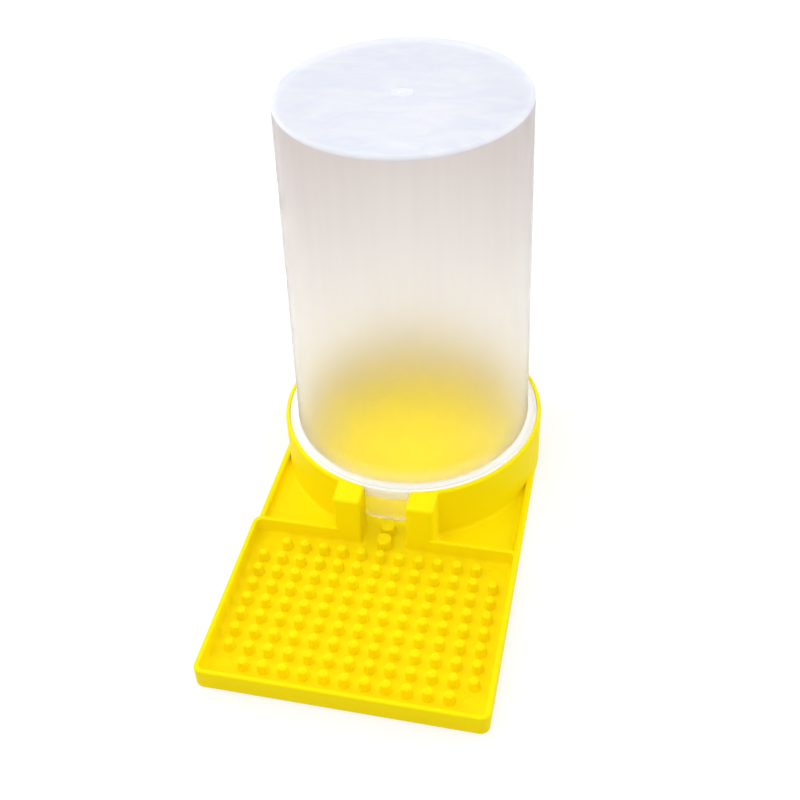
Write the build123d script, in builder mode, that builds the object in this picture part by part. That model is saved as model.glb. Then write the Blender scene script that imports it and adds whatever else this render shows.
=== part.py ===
"""Entrance feeder: a moulded tray base, and an upside-down cup that seats in the base's ring.

Millimetres, +Z up. The origin is where the cup's axis meets the plane that the base stands on, and -Y is the
front, where the studded tray goes into the hive entrance.
"""

import os

from build123d import *

os.makedirs("parts", exist_ok=True)

# Base: floor, front tray and low rear walls
tray_width = 99.2
tray_depth = 70.1
floor_thickness = 1.5
front_wall = 1.8
front_wall_top = 8.3
corner_radius = 3.2
inner_corner_radius = 1.8
divider_thickness = 1.7
rear_wall = 2.4
rear_wall_top = 4.3
foot_radius = 1.4
rim_radius = 0.6
rear_rim_radius = 0.8
underside_radius = 0.7

# Base: seat ring, channel and the posts beside it
ring_overhang = 0.4
ring_wall = 1.5
ring_top = 23.2
ring_rim_radius = 1.0
ring_post_radius = 1.0
channel_width = 16.9
channel_length = 6.9
post_width = 10.1
post_setback = 0.3
post_edge_radius = 1.2
post_corner_radius = 1.8
wedge_length = 3.2

# Base: ribs inside the ring that carry the cup's flange
rib_count = 6
rib_width = 1.6
rib_clearance = 0.9

# Base: drinking studs, and the ejector marks in the corners of their field
stud_pitch_x = 7.04
stud_pitch_y = 6.83
stud_margin_x = 5.0
stud_margin_y = 6.0
stud_field_shift = 0.85
stud_base_radius = 2.1
stud_tip_radius = 1.65
stud_height = 4.2
stud_dome = 0.5
stud_dimple_radius = 0.45
stud_dimple_depth = 0.12
ejector_mark_radius = 3.2
ejector_mark_depth = 0.15

# Base: the stout studs in the channel
channel_stud_count = 2
channel_stud_clearance = 0.8
channel_stud_radius = 2.9
channel_stud_height = 4.2
channel_stud_rounding = 0.8
channel_stud_dish_radius = 1.6
channel_stud_dish_depth = 0.25

# Cup: wall and crown
cup_height = 151.6
cup_taper = 2.9
cup_wall = 1.4
cup_crown = 1.6
cup_crown_radius = 1.2
cup_inner_crown_radius = 2.5
mouth_gap = 2.65
mouth_edge_radius = 0.4
gate_radius = 3.5
gate_depth = 0.4
gate_nub_radius = 1.2
gate_bevel = 0.3

# Cup: flange that fills the ring
flange_clearance = 0.3
flange_width = 3.0
flange_drop = 0.3
flange_thickness = 4.3
flange_edge_radius = 0.3
flange_fillet = 0.8
flange_lip = 0.7
flange_groove_width = 0.8
flange_groove_depth = 0.35
flange_line_drop = 0.8
flange_line_width = 0.6
flange_line_depth = 0.35

# Places on the base that follow from the sizes above
half_width = tray_width / 2
ring_outer_radius = half_width + ring_overhang
ring_inner_radius = ring_outer_radius - ring_wall
divider_front = ring_outer_radius + channel_length
divider_back = divider_front - divider_thickness
tray_front = divider_front + tray_depth
tray_inner_front = tray_front - front_wall
tray_inner_half = half_width - front_wall
post_front = divider_front - post_setback
post_middle = (channel_width + post_width) / 2
post_outer = channel_width / 2 + post_width
wedge_end = post_outer - wedge_length
pocket_outer = half_width - rear_wall
pocket_middle = (post_outer + pocket_outer) / 2
pocket_width = pocket_outer - post_outer
pocket_shelf = floor_thickness + foot_radius

# Places on the cup, and on the base where it carries the cup
flange_radius = ring_inner_radius - flange_clearance
flange_top = ring_top - flange_drop
flange_seat = flange_top - flange_thickness
flange_groove_outer = flange_radius - flange_lip
flange_groove_inner = flange_groove_outer - flange_groove_width
flange_groove_floor = flange_top - flange_groove_depth
flange_line = flange_top - flange_line_drop
mouth_z = floor_thickness + mouth_gap
mouth_radius = flange_radius - flange_width
crown_z = mouth_z + cup_height
crown_radius = mouth_radius - cup_taper
rib_inner = mouth_radius + rib_clearance
rib_outer = ring_inner_radius + ring_wall / 2


def cup_radius(z):
    """Outer radius of the tapered cup wall at height z."""
    return mouth_radius - cup_taper * (z - mouth_z) / cup_height


# The space that the liquid fills: the tray, the channel and the inside of the ring share one floor
with BuildPart() as liquid_space:
    with BuildSketch(Plane.XY.offset(floor_thickness)) as liquid_plan:
        with BuildLine():
            right_side = Polyline(
                (0, -tray_inner_front),
                (tray_inner_half, -tray_inner_front),
                (tray_inner_half, -divider_front),
                (post_outer, -divider_front),
                (wedge_end, -post_front),
                (channel_width / 2, -post_front),
                (channel_width / 2, 0),
                (0, 0),
            )
            mirror(right_side, about=Plane.YZ)
        make_face()
        tray_corners = liquid_plan.vertices().filter_by(lambda v: abs(v.X) > pocket_middle)
        fillet(tray_corners, radius=inner_corner_radius)
        channel_corners = liquid_plan.vertices().filter_by(
            lambda v: channel_width / 4 < abs(v.X) < post_middle and v.Y < -ring_outer_radius
        )
        fillet(channel_corners, radius=post_edge_radius)
        Circle(ring_inner_radius)
    extrude(amount=ring_top)
    liquid_foot = liquid_space.edges().filter_by_position(Axis.Z, floor_thickness, floor_thickness)
    fillet(liquid_foot, radius=min(foot_radius, 0.9 * inner_corner_radius))

# The two shallow pockets behind the divider, between the ring, a post and a side wall
with BuildPart() as rear_pockets:
    with BuildSketch(Plane.XY.offset(floor_thickness)):
        for side in (-1, 1):
            with Locations((side * pocket_middle, -divider_back / 2)):
                Rectangle(pocket_width, divider_back)
        Circle(ring_outer_radius, mode=Mode.SUBTRACT)
    extrude(amount=ring_top)
    pocket_foot = rear_pockets.edges().filter_by_position(Axis.Z, floor_thickness, floor_thickness)
    fillet(pocket_foot, radius=foot_radius)

# A drinking stud: a blunt peg with a low domed tip and the dimple of its ejector pin
with BuildPart() as stud:
    with BuildSketch(Plane.XZ):
        with BuildLine():
            stud_side = Polyline(
                (0, -floor_thickness / 2),
                (stud_base_radius, -floor_thickness / 2),
                (stud_base_radius, 0),
                (stud_tip_radius, stud_height - stud_dome),
            )
            stud_crest = SagittaArc(stud_side @ 1, (stud_dimple_radius, stud_height), -stud_dome / 4)
            Polyline(stud_crest @ 1, (0, stud_height - stud_dimple_depth), stud_side @ 0)
        make_face()
    revolve(axis=Axis.Z)

# A channel stud: a stout peg that keeps bees out of the ring and lets the liquid pass
with BuildPart() as channel_stud:
    with BuildSketch(Plane.XZ) as channel_stud_profile:
        with BuildLine():
            Polyline(
                (0, -floor_thickness / 2),
                (channel_stud_radius, -floor_thickness / 2),
                (channel_stud_radius, channel_stud_height),
                (channel_stud_dish_radius, channel_stud_height),
                (0, channel_stud_height - channel_stud_dish_depth),
                close=True,
            )
        make_face()
        peg_rim = channel_stud_profile.vertices().group_by(Axis.Y)[-1].sort_by(Axis.X)[-1]
        fillet(peg_rim, radius=channel_stud_rounding)
    revolve(axis=Axis.Z)

# The studs stand in rows about the middle of the tray, and the four corners of their field stay empty
field_y = stud_field_shift - (tray_inner_front + divider_front) / 2
last_column = int((tray_inner_half - stud_margin_x) / stud_pitch_x)
last_row = int(((tray_inner_front - divider_front) / 2 - stud_margin_y) / stud_pitch_y)
stud_places = []
mark_places = []
for column in range(-last_column, last_column + 1):
    for row in range(-last_row, last_row + 1):
        place = (column * stud_pitch_x, field_y + row * stud_pitch_y, floor_thickness)
        if abs(column) == last_column and abs(row) == last_row:
            mark_places.append(place)
        else:
            stud_places.append(place)
channel_stud_y = -(mouth_radius + channel_stud_clearance + channel_stud_radius)
channel_places = [
    (0, channel_stud_y - number * stud_pitch_y, floor_thickness) for number in range(channel_stud_count)
]

# The base: tray, ring and posts in one moulding
with BuildPart() as feeder_base:
    with BuildSketch(Plane.XZ) as rear_section:
        with Locations((0, rear_wall_top / 2)):
            Rectangle(tray_width, rear_wall_top)
        for side in (-1, 1):
            with Locations((side * pocket_middle, (pocket_shelf + ring_top) / 2)):
                Rectangle(pocket_width, ring_top - pocket_shelf, mode=Mode.SUBTRACT)
        wall_tops = rear_section.vertices().group_by(Axis.Y)[-1].filter_by(lambda v: abs(v.X) > pocket_middle)
        fillet(wall_tops, radius=min(rear_rim_radius, 0.45 * rear_wall, 0.9 * (rear_wall_top - pocket_shelf)))
    extrude(amount=divider_back + corner_radius)
    add(rear_pockets.part, mode=Mode.SUBTRACT)

    with BuildSketch():
        with Locations((0, -(tray_front + divider_back) / 2)):
            RectangleRounded(tray_width, tray_front - divider_back, corner_radius)
    extrude(amount=front_wall_top)
    with BuildSketch(Plane.XY.offset(pocket_shelf)):
        with Locations((0, -(tray_inner_front + divider_front) / 2)):
            RectangleRounded(2 * tray_inner_half, tray_inner_front - divider_front, inner_corner_radius)
    extrude(amount=front_wall_top, mode=Mode.SUBTRACT)
    tray_rim = feeder_base.edges().filter_by_position(Axis.Z, front_wall_top, front_wall_top)
    fillet(tray_rim, radius=min(rim_radius, 0.45 * front_wall))

    with BuildSketch() as seat_plan:
        for side in (-1, 1):
            with Locations((side * post_middle, -post_front / 2)):
                Rectangle(post_width, post_front)
        post_corners = seat_plan.vertices().group_by(Axis.Y)[0].filter_by(lambda v: abs(v.X) > post_middle)
        fillet(post_corners, radius=post_corner_radius)
        Circle(ring_outer_radius)
        ring_corners = seat_plan.vertices().filter_by(
            lambda v: abs(v.X) > post_middle and 2 * post_corner_radius - post_front < v.Y < 0
        )
        fillet(ring_corners, radius=ring_post_radius)
    extrude(amount=ring_top)
    add(liquid_space.part, mode=Mode.SUBTRACT)

    # The top edges of the ring and the posts are rounded, all but the ring's inner edge round the flange
    seat_rim = feeder_base.edges().filter_by_position(Axis.Z, ring_top, ring_top).filter_by(
        lambda e: not 0 < e.center().Y < ring_outer_radius - ring_wall / 2
    )
    fillet(seat_rim, radius=min(ring_rim_radius, 0.9 * post_edge_radius, 0.8 * ring_wall))
    underside = feeder_base.edges().filter_by_position(Axis.Z, 0, 0)
    fillet(underside, radius=min(underside_radius, 0.9 * floor_thickness))

    with BuildSketch(Plane.XY.offset(floor_thickness / 2)):
        with PolarLocations((rib_inner + rib_outer) / 2, rib_count, start_angle=180 / rib_count - 90):
            Rectangle(rib_outer - rib_inner, rib_width)
    extrude(amount=flange_seat - floor_thickness / 2)
    with Locations(*stud_places):
        add(stud.part)
    with Locations(*channel_places):
        add(channel_stud.part)
    with Locations(*mark_places):
        Cylinder(ejector_mark_radius, ejector_mark_depth * 2, mode=Mode.SUBTRACT)
feeder_base.part.label = "feeder_base"
export_step(feeder_base.part, "parts/feeder_base.step")

# The cup: one turned profile from the mouth's edge over the flange to the crown and its gate mark
inner_crown = (cup_radius(crown_z - cup_crown) - cup_wall, crown_z - cup_crown)
with BuildPart() as syrup_cup:
    with BuildSketch(Plane.XZ) as cup_profile:
        with BuildLine():
            Polyline(
                (mouth_radius - cup_wall, mouth_z),
                (mouth_radius, mouth_z),
                (cup_radius(flange_seat), flange_seat),
                (flange_radius, flange_seat),
                (flange_radius, flange_line - flange_line_width / 2),
                (flange_radius - flange_line_depth, flange_line),
                (flange_radius, flange_line + flange_line_width / 2),
                (flange_radius, flange_top),
                (flange_groove_outer, flange_top),
                (flange_groove_outer, flange_groove_floor),
                (flange_groove_inner, flange_groove_floor),
                (flange_groove_inner, flange_top),
                (cup_radius(flange_top), flange_top),
                (crown_radius, crown_z),
                (gate_radius, crown_z),
                (gate_radius - gate_bevel, crown_z - gate_depth),
                (gate_nub_radius + gate_bevel, crown_z - gate_depth),
                (gate_nub_radius, crown_z),
                (0, crown_z),
                (0, crown_z - cup_crown),
                inner_crown,
                close=True,
            )
        make_face()
        mouth_corners = cup_profile.vertices().group_by(Axis.Y)[0]
        fillet(mouth_corners, radius=min(mouth_edge_radius, 0.45 * cup_wall))
        crown_corner = cup_profile.vertices().group_by(Axis.Y)[-1].sort_by(Axis.X)[-1]
        fillet(crown_corner, radius=cup_crown_radius)
        inner_crown_corner = cup_profile.vertices().sort_by_distance(inner_crown)[0]
        fillet(inner_crown_corner, radius=cup_inner_crown_radius)
        for z in (flange_seat, flange_top):
            flange_corner = cup_profile.vertices().sort_by_distance((flange_radius, z))[0]
            fillet(flange_corner, radius=flange_edge_radius)
            wall_corner = cup_profile.vertices().sort_by_distance((cup_radius(z), z))[0]
            fillet(wall_corner, radius=flange_fillet)
    revolve(axis=Axis.Z)
syrup_cup.part.label = "syrup_cup"
export_step(syrup_cup.part, "parts/syrup_cup.step")
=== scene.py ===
import math

import bmesh
import bpy
from mathutils import Matrix, Vector


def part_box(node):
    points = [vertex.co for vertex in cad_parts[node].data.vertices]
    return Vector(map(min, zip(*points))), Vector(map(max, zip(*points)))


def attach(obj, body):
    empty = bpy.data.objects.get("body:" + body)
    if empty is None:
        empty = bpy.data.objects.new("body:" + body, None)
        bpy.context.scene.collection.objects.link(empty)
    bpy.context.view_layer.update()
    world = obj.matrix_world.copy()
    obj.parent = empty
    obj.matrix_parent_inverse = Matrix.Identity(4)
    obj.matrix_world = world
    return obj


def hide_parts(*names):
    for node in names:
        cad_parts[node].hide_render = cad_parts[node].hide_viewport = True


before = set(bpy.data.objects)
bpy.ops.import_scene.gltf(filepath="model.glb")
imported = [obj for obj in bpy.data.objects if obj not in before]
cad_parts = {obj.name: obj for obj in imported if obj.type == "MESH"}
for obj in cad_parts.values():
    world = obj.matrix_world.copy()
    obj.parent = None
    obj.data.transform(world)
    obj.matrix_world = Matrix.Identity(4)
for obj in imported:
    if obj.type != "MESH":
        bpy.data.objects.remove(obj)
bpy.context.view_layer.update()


# Feeder base: one injection moulding that joins the studded tray, the channel, the posts and the seat ring.
# Polypropylene coloured yellow in the mass, left as it comes out of a polished mould.
# It stands loose on its flat floor, with the tray pushed into the hive entrance.

mm = 0.001


def linear(code):
    """Linear RGBA of an sRGB hex colour."""
    channels = [int(code[start:start + 2], 16) / 255 for start in (1, 3, 5)]
    return [c / 12.92 if c <= 0.04045 else ((c + 0.055) / 1.055) ** 2.4 for c in channels] + [1.0]


def add_node(tree, kind, inputs=None, **settings):
    """Adds a node to a tree.

    Each input is called by its name, or by its number where a node repeats a name. It takes a value, an
    output socket, or a node, whose first output in use is then linked.
    """
    node = tree.nodes.new(kind)
    for name, value in settings.items():
        setattr(node, name, value)
    for key, value in (inputs or {}).items():
        named = (socket for socket in node.inputs if socket.enabled and socket.name == key)
        socket = node.inputs[key] if isinstance(key, int) else next(named)
        if isinstance(value, bpy.types.Node):
            value = next(output for output in value.outputs if output.enabled)
        if isinstance(value, bpy.types.NodeSocket):
            tree.links.new(value, socket)
        else:
            socket.default_value = value
    return node


def empty_material(name):
    """A new material whose node tree is still empty."""
    material = bpy.data.materials.new(name)
    material.use_nodes = True
    material.node_tree.nodes.clear()
    return material


# Yellow polypropylene: an even, deep colour with faint clouds where the melt flowed, a satin gloss that
# shows as soft light on the edges, and a skin that is smooth but never quite flat.
base_cloud = 22 * mm
rubbed_spot = 5 * mm
skin_grain = 0.9 * mm
skin_relief = 0.05 * mm
yellow_polypropylene = empty_material("yellow_polypropylene")
tree = yellow_polypropylene.node_tree
place = add_node(tree, "ShaderNodeTexCoord").outputs["Object"]
clouds = add_node(tree, "ShaderNodeTexNoise", {"Vector": place, "Scale": 1 / base_cloud, "Detail": 3.0})
yellow = add_node(
    tree,
    "ShaderNodeMix",
    {"Factor": clouds, "A": linear("#F9E002"), "B": linear("#FCE906")},
    data_type="RGBA",
)
rub = add_node(tree, "ShaderNodeTexNoise", {"Vector": place, "Scale": 1 / rubbed_spot, "Detail": 4.0})
gloss = add_node(tree, "ShaderNodeMapRange", {"Value": rub, "To Min": 0.40, "To Max": 0.54})
skin = add_node(tree, "ShaderNodeTexNoise", {"Vector": place, "Scale": 1 / skin_grain, "Detail": 2.0})
skin_bump = add_node(tree, "ShaderNodeBump", {"Height": skin, "Strength": 0.05, "Distance": skin_relief})
surface = add_node(
    tree,
    "ShaderNodeBsdfPrincipled",
    {
        "Base Color": yellow,
        "Roughness": gloss,
        "IOR": 1.49,
        "Specular IOR Level": 0.05,
        "Normal": skin_bump,
    },
)
add_node(tree, "ShaderNodeOutputMaterial", {"Surface": surface})
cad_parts["feeder_base"].material_slots[0].material = yellow_polypropylene


# Syrup cup: a deep beaker turned upside down, with a stepped flange that fills the mouth of the seat ring.
# Natural polypropylene, injection moulded through a gate in the middle of the crown.
# It is only pushed into the ring by hand, with its mouth just above the floor, and it lifts straight out.

cup_lowest, cup_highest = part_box("syrup_cup")
ring_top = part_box("feeder_base")[1].z
cup_wall = 1.4 * mm
cup_taper = 2.9 * mm
crown_thickness = 1.6 * mm
crown_rounding = 1.2 * mm
crown_inner_rounding = 2.5 * mm
mouth_rounding = 0.4 * mm
flange_width = 3.0 * mm
flange_height = 4.3 * mm
flange_below_ring = 0.3 * mm
flange_swell = 0.2 * mm
flange_rounding = 0.3 * mm
flange_upper_fillet = 1.7 * mm
flange_lower_fillet = 0.8 * mm
line_below_top = 0.8 * mm
line_half_width = 0.3 * mm
line_depth = 0.35 * mm
line_rounding = 0.05 * mm
groove_from_edge = 0.7 * mm
groove_width = 0.8 * mm
groove_depth = 0.35 * mm
groove_rounding = 0.1 * mm
gate_radius = 3.5 * mm
gate_nub_radius = 1.2 * mm
gate_depth = 0.4 * mm
gate_bevel = 0.3 * mm
gate_rounding = 0.15 * mm

mouth_z = cup_lowest.z
crown_z = cup_highest.z
crown_inner_z = crown_z - crown_thickness
flange_radius = cup_highest.x
flange_edge = flange_radius + flange_swell
flange_top = ring_top - flange_below_ring
flange_seat = flange_top - flange_height
flange_line = flange_top - line_below_top
groove_outer = flange_radius - groove_from_edge
groove_inner = groove_outer - groove_width
groove_floor = flange_top - groove_depth
gate_floor = crown_z - gate_depth
mouth_radius = flange_radius - flange_width
crown_radius = mouth_radius - cup_taper


def cup_radius(z):
    """Outer radius of the tapered cup wall at height z."""
    return mouth_radius + (crown_radius - mouth_radius) * (z - mouth_z) / (crown_z - mouth_z)


# Radius, height and rounding of each corner of the section, from the inside of the crown to its outside
cup_corners = [
    (0, crown_inner_z, 0),
    (cup_radius(crown_inner_z) - cup_wall, crown_inner_z, crown_inner_rounding),
    (mouth_radius - cup_wall, mouth_z, mouth_rounding),
    (mouth_radius, mouth_z, mouth_rounding),
    (cup_radius(flange_seat), flange_seat, flange_lower_fillet),
    (flange_edge, flange_seat, flange_rounding),
    (flange_edge, flange_line - line_half_width, line_rounding),
    (flange_edge - line_depth, flange_line, line_rounding),
    (flange_edge, flange_line + line_half_width, line_rounding),
    (flange_edge, flange_top, flange_rounding),
    (groove_outer, flange_top, groove_rounding),
    (groove_outer, groove_floor, groove_rounding),
    (groove_inner, groove_floor, groove_rounding),
    (groove_inner, flange_top, groove_rounding),
    (cup_radius(flange_top), flange_top, flange_upper_fillet),
    (crown_radius, crown_z, crown_rounding),
    (gate_radius, crown_z, gate_rounding),
    (gate_radius - gate_bevel, gate_floor, gate_rounding),
    (gate_nub_radius + gate_bevel, gate_floor, gate_rounding),
    (gate_nub_radius, crown_z, gate_rounding),
    (0, crown_z, 0),
]
rounding_segments = 5
spin_steps = 192
weld_distance = 0.001 * mm
shell = bmesh.new()
outline = [shell.verts.new((radius, 0, z)) for radius, z, rounding in cup_corners]
for near, far in zip(outline, outline[1:]):
    shell.edges.new((near, far))
for corner, (radius, z, rounding) in zip(outline, cup_corners):
    if rounding:
        bmesh.ops.bevel(
            shell,
            geom=[corner],
            offset=rounding,
            segments=rounding_segments,
            profile=0.5,
            affect="VERTICES",
            material=-1,
        )
bmesh.ops.spin(
    shell,
    geom=shell.verts[:] + shell.edges[:],
    axis=(0, 0, 1),
    cent=(0, 0, 0),
    angle=2 * math.pi,
    steps=spin_steps,
    use_merge=True,
)
bmesh.ops.remove_doubles(shell, verts=shell.verts, dist=weld_distance)
bmesh.ops.recalc_face_normals(shell, faces=shell.faces)
for face in shell.faces:
    face.smooth = True
cup_mesh = bpy.data.meshes.new("syrup_cup_shell")
shell.to_mesh(cup_mesh)
shell.free()
syrup_cup = bpy.data.objects.new("syrup_cup_shell", cup_mesh)
bpy.context.scene.collection.objects.link(syrup_cup)
flat_faces = syrup_cup.modifiers.new("flat_faces", "WEIGHTED_NORMAL")
flat_faces.keep_sharp = True

# Natural polypropylene: milky and translucent, so what lies close behind the wall shows soft and what lies
# far behind it melts away. Its colour is painted greyer and darker towards the crown, as painted shade for
# the upper wall, which takes less light. It clouds over at the mouth and level with the flange, where the
# plastic gathers light. The skin has clouds from the melt and faint upright draw marks, which are drawn
# wider than real ones so that they show. The IOR is kept far below that of solid polypropylene, so that the
# wall stays as bright as a thin moulding is.
wall_cloud = 18 * mm
draw_mark_width = 2.5 * mm
draw_mark_length = 90 * mm
draw_mark_relief = 0.05 * mm
# Height where the painted shade towards the crown begins
painted_shade_from = 45 * mm
mouth_clear = 0.5
skirt_clear = 0.92
flange_clear = 0.05
foot_clear = 0.7
low_wall_clear = 0.85
wall_clear = 0.97
natural_polypropylene = empty_material("natural_polypropylene")
tree = natural_polypropylene.node_tree
place = add_node(tree, "ShaderNodeTexCoord").outputs["Object"]
height = add_node(tree, "ShaderNodeSeparateXYZ", {"Vector": place}).outputs["Z"]
clouds = add_node(tree, "ShaderNodeTexNoise", {"Vector": place, "Scale": 1 / wall_cloud, "Detail": 4.0})
along_draw = add_node(
    tree,
    "ShaderNodeMapping",
    {"Vector": place, "Scale": (1 / draw_mark_width, 1 / draw_mark_width, 1 / draw_mark_length)},
)
draw_marks = add_node(tree, "ShaderNodeTexNoise", {"Vector": along_draw, "Scale": 1.0, "Detail": 3.0})
low_milk = add_node(
    tree,
    "ShaderNodeMix",
    {"Factor": draw_marks, "A": linear("#FCFAF6"), "B": linear("#FFFEFC")},
    data_type="RGBA",
)
# Painted shade: a greyer, darker milk that the wall is blended into towards the crown, where less light
# falls.
painted_shade_high_milk = add_node(
    tree,
    "ShaderNodeMix",
    {"Factor": draw_marks, "A": linear("#DFD9D6"), "B": linear("#ECE7E5")},
    data_type="RGBA",
)
painted_shade_rise = add_node(
    tree, "ShaderNodeMapRange", {"Value": height, "From Min": painted_shade_from, "From Max": crown_z}
)
milk_and_painted_shade = add_node(tree, "ShaderNodeMix", {"Factor": painted_shade_rise, "A": low_milk, "B": painted_shade_high_milk}, data_type="RGBA")
haze = add_node(tree, "ShaderNodeMapRange", {"Value": clouds, "To Min": 0.62, "To Max": 0.74})
clear_from = flange_top + 8 * mm
above_mouth = add_node(
    tree, "ShaderNodeMapRange", {"Value": height, "From Min": mouth_z, "From Max": clear_from}
)
clearness = add_node(tree, "ShaderNodeValToRGB", {"Fac": above_mouth})
# Height and clearness of each step on the way up from the mouth
clear_stops = [
    (mouth_z + 0.5 * mm, mouth_clear),
    (mouth_z + 0.8 * mm, skirt_clear),
    (flange_seat - 1.5 * mm, skirt_clear),
    (flange_seat - 0.5 * mm, flange_clear),
    (flange_top - 2.4 * mm, flange_clear),
    (flange_top + 0.2 * mm, foot_clear),
    (flange_top + 2 * mm, low_wall_clear),
]
lowest_stop, highest_stop = clearness.color_ramp.elements
lowest_stop.color = (mouth_clear, mouth_clear, mouth_clear, 1)
highest_stop.color = (wall_clear, wall_clear, wall_clear, 1)
for z, level in clear_stops:
    stop = clearness.color_ramp.elements.new((z - mouth_z) / (clear_from - mouth_z))
    stop.color = (level, level, level, 1)
draw_bump = add_node(
    tree, "ShaderNodeBump", {"Height": draw_marks, "Strength": 0.06, "Distance": draw_mark_relief}
)
surface = add_node(
    tree,
    "ShaderNodeBsdfPrincipled",
    {
        "Base Color": milk_and_painted_shade,
        "Roughness": haze,
        "IOR": 1.15,
        "Transmission Weight": clearness,
        "Coat Weight": 0.05,
        "Coat Roughness": 0.15,
        "Coat IOR": 1.49,
        "Normal": draw_bump,
    },
)
add_node(tree, "ShaderNodeOutputMaterial", {"Surface": surface})
cup_mesh.materials.append(natural_polypropylene)

# Crown polypropylene: the flat end scatters the light of the sky back and shows as cool milk white, with
# long streaks and blotches where the melt spread out from the gate. It pales at the gate, and along the
# rounded edge it is painted whiter and less clear as a painted highlight.
streak_length = 17 * mm
streak_width = 9 * mm
streak_depth = 20 * mm
# Painted highlight along the crown's rounded edge: where it starts, where it is full, and how strong it is
edge_highlight_from = crown_radius - 2.0 * mm
edge_highlight_full = crown_radius - 0.7 * mm
edge_highlight_strength = 0.15
gate_pale_from = gate_radius + 0.3 * mm
gate_pale_full = gate_radius - 0.3 * mm
gate_paleness = 0.45
crown_polypropylene = empty_material("crown_natural_polypropylene")
tree = crown_polypropylene.node_tree
place = add_node(tree, "ShaderNodeTexCoord").outputs["Object"]
across = add_node(
    tree,
    "ShaderNodeMapping",
    {"Vector": place, "Scale": (1 / streak_length, 1 / streak_width, 1 / streak_depth)},
)
streaks = add_node(
    tree,
    "ShaderNodeTexNoise",
    {"Vector": across, "Scale": 1.0, "Detail": 6.0, "Roughness": 0.6, "Distortion": 0.9},
)
sheet_white = add_node(
    tree,
    "ShaderNodeMix",
    {"Factor": streaks, "A": linear("#D7E2F7"), "B": linear("#FFFFFF")},
    data_type="RGBA",
)
on_plan = add_node(tree, "ShaderNodeVectorMath", {0: place, 1: (1, 1, 0)}, operation="MULTIPLY")
reach_out = add_node(tree, "ShaderNodeVectorMath", {0: on_plan}, operation="LENGTH")
# Painted highlight: the crown is painted whiter and less see-through towards its rounded edge.
painted_edge_highlight = add_node(
    tree,
    "ShaderNodeMapRange",
    {"Value": reach_out, "From Min": edge_highlight_from, "From Max": edge_highlight_full, "To Max": edge_highlight_strength},
)
towards_gate = add_node(
    tree,
    "ShaderNodeMapRange",
    {"Value": reach_out, "From Min": gate_pale_from, "From Max": gate_pale_full, "To Max": gate_paleness},
)
# The gate's own paleness together with the painted edge highlight
gate_pale_and_edge_highlight = add_node(tree, "ShaderNodeMath", {0: painted_edge_highlight, 1: towards_gate}, operation="MAXIMUM")
white = add_node(
    tree,
    "ShaderNodeMix",
    {"Factor": gate_pale_and_edge_highlight, "A": sheet_white, "B": linear("#FFFFFF")},
    data_type="RGBA",
)
see_through = add_node(tree, "ShaderNodeMapRange", {"Value": gate_pale_and_edge_highlight, "To Min": 0.4, "To Max": 0.15})
surface = add_node(
    tree,
    "ShaderNodeBsdfPrincipled",
    {"Base Color": white, "Roughness": 0.4, "IOR": 1.2, "Transmission Weight": see_through},
)
add_node(tree, "ShaderNodeOutputMaterial", {"Surface": surface})
cup_mesh.materials.append(crown_polypropylene)

# Solid polypropylene: the flange holds so much plastic that hardly any light comes through, and its steps
# stand out as clean white rings.
flange_cloud = 6 * mm
solid_polypropylene = empty_material("solid_natural_polypropylene")
tree = solid_polypropylene.node_tree
place = add_node(tree, "ShaderNodeTexCoord").outputs["Object"]
clouds = add_node(tree, "ShaderNodeTexNoise", {"Vector": place, "Scale": 1 / flange_cloud, "Detail": 3.0})
white = add_node(
    tree,
    "ShaderNodeMix",
    {"Factor": clouds, "A": linear("#F8F6EE"), "B": linear("#FFFEF8")},
    data_type="RGBA",
)
surface = add_node(
    tree,
    "ShaderNodeBsdfPrincipled",
    {"Base Color": white, "Roughness": 0.4, "IOR": 1.49, "Transmission Weight": 0.15},
)
add_node(tree, "ShaderNodeOutputMaterial", {"Surface": surface})
cup_mesh.materials.append(solid_polypropylene)

wall_slack = 0.05 * mm
crown_slot, flange_slot = 1, 2
for polygon in cup_mesh.polygons:
    spot = polygon.center
    if spot.z > crown_z - crown_rounding and polygon.normal.z > 0:
        polygon.material_index = crown_slot
    elif math.hypot(spot.x, spot.y) > cup_radius(spot.z) + wall_slack:
        polygon.material_index = flange_slot
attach(syrup_cup, "cup")
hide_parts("syrup_cup")


# Studio floor and world: a wide sheet of matt white board, and white all round.
# The camera and the cup see both as white, and the board keeps a faint shadow of the feeder.

floor_half = 3.0
board = bmesh.new()
bmesh.ops.create_grid(board, x_segments=1, y_segments=1, size=floor_half)
floor_mesh = bpy.data.meshes.new("studio_floor")
board.to_mesh(floor_mesh)
board.free()
studio_floor = bpy.data.objects.new("studio_floor", floor_mesh)
bpy.context.scene.collection.objects.link(studio_floor)


def seen_rays(tree):
    """A node that gives 1 for rays from the camera or the cup, and 0 for those that only carry light."""
    ray = add_node(tree, "ShaderNodeLightPath")
    seen = ray.outputs["Is Camera Ray"]
    for kind in ("Is Glossy Ray", "Is Transmission Ray"):
        seen = add_node(tree, "ShaderNodeMath", {0: seen, 1: ray.outputs[kind]}, operation="MAXIMUM")
    return seen


shadow_share = 0.3
board_white = (1, 1, 1, 1)
shadow_grey = (shadow_share, shadow_share, shadow_share, 1)
matt_board = empty_material("matt_white_board")
tree = matt_board.node_tree
board_light = add_node(tree, "ShaderNodeEmission", {"Color": board_white, "Strength": 1 - shadow_share})
board_shadow = add_node(tree, "ShaderNodeBsdfDiffuse", {"Color": shadow_grey})
shown = add_node(tree, "ShaderNodeAddShader", {0: board_light, 1: board_shadow})
board_bounce = add_node(tree, "ShaderNodeBsdfDiffuse", {"Color": linear("#D8D0CC")})
sheet = add_node(tree, "ShaderNodeMixShader", {0: seen_rays(tree), 1: board_bounce, 2: shown})
add_node(tree, "ShaderNodeOutputMaterial", {"Surface": sheet})
floor_mesh.materials.append(matt_board)

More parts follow.
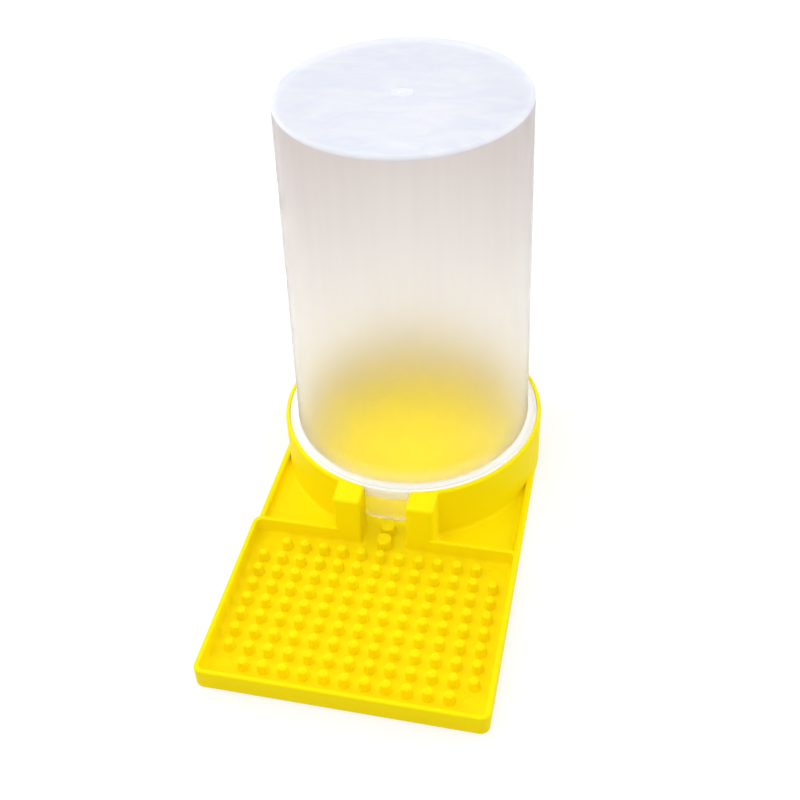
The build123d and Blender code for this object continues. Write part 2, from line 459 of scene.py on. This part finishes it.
ambient_level = 0.6
seen_level = 1.0
world = bpy.data.worlds.new("white_surround")
bpy.context.scene.world = world
world.use_nodes = True
tree = world.node_tree
tree.nodes.clear()
strength = add_node(
    tree, "ShaderNodeMapRange", {"Value": seen_rays(tree), "To Min": ambient_level, "To Max": seen_level}
)
surround = add_node(tree, "ShaderNodeBackground", {"Color": board_white, "Strength": strength})
add_node(tree, "ShaderNodeOutputWorld", {"Surface": surround})


# Studio lamps: a wide soft box overhead that models the yellow shapes, and a weaker one before the tray.
# Behind the feeder a cool box at each side lights the cup through from the back.

middle = Vector((0, -40 * mm, 40 * mm))
# Place, width and height in metres, power in watts and colour
lamps = {
    "overhead_box": (Vector((-0.20, -0.15, 1.0)), 1.2, 1.2, 5.0, "#FFFFFF"),
    "front_box": (Vector((-0.15, -1.0, 0.45)), 0.7, 0.7, 1.4, "#FFFFFF"),
    "right_box": (Vector((0.80, 0.35, 0.35)), 0.6, 0.5, 3.6, "#E2ECFF"),
    "left_box": (Vector((-0.80, 0.35, 0.35)), 0.6, 0.5, 3.4, "#E2ECFF"),
}
for name, (position, lamp_width, lamp_height, power, colour) in lamps.items():
    lamp_data = bpy.data.lights.new(name, "AREA")
    lamp_data.shape = "RECTANGLE"
    lamp_data.size = lamp_width
    lamp_data.size_y = lamp_height
    lamp_data.energy = power
    lamp_data.color = linear(colour)[:3]
    lamp = bpy.data.objects.new(name, lamp_data)
    lamp.location = position
    lamp.rotation_euler = (middle - position).to_track_quat("-Z", "Y").to_euler()
    lamp.visible_camera = False
    bpy.context.scene.collection.objects.link(lamp)


# Camera: above and in front of the tray, a little right of the feeder's axis and turned back towards it.
# The frame is shifted off the lens axis, as in a picture that was cropped.

camera_data = bpy.data.cameras.new("camera")
camera_data.lens = 52.158
camera_data.sensor_width = 36.0
camera_data.shift_x = 0.039553
camera_data.shift_y = -0.014771
camera = bpy.data.objects.new("camera", camera_data)
heading = math.radians(15.507)
tilt = math.radians(49.705)
roll = math.radians(-3.783)
stand = Matrix.Translation((0.075296, -0.335108, 0.323555))
camera.matrix_world = (
    stand @ Matrix.Rotation(heading, 4, "Z") @ Matrix.Rotation(tilt, 4, "X") @ Matrix.Rotation(roll, 4, "Z")
)
bpy.context.scene.collection.objects.link(camera)
bpy.context.scene.camera = camera
bpy.context.scene.view_settings.view_transform = "Standard"
